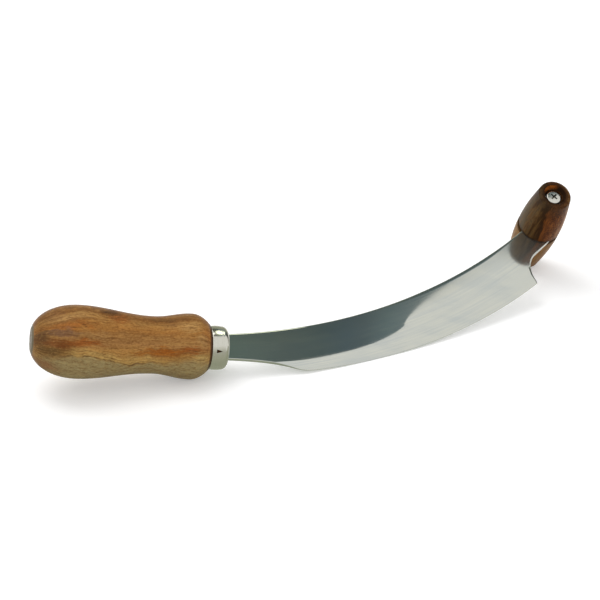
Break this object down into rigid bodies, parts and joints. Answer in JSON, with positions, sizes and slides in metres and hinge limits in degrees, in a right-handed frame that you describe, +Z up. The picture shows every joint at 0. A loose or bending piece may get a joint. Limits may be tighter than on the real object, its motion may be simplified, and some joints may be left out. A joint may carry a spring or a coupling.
{
  "type": "two-handed cheese knife",
  "caption": "Curved two-handed cheese knife: ground steel blade with a turned wooden handle and ferrule at the root and a screwed wooden cross grip at the tip, lying at rest.",
  "frame": {"origin": "middle of the knife's box, on the table that it lies on", "axes": "+X along the main handle towards the tip as seen from above, +Y away from the cutting edge, towards the spine, +Z up from the table"},
  "size_m": [0.349, 0.1358, 0.0699],
  "materials": {
    "blade_steel": "fine lengthwise polish, nearly a mirror",
    "handle_wood": "olive-brown hardwood, semi-gloss varnish",
    "grip_wood": "darker stained hardwood, semi-gloss varnish",
    "ferrule_plate": "bright nickel plate",
    "hardware_steel": "bright zinc plate"
  },
  "bodies": {
    "root": {"blade": "blade_steel", "main_handle": "handle_wood", "ferrule": "ferrule_plate", "front_grip": "grip_wood", "rear_grip": "grip_wood", "grip_screw": "hardware_steel", "grip_sleeve_nut": "hardware_steel", "screw_washer": "hardware_steel", "nut_washer": "hardware_steel"}
  },
  "joints": []
}
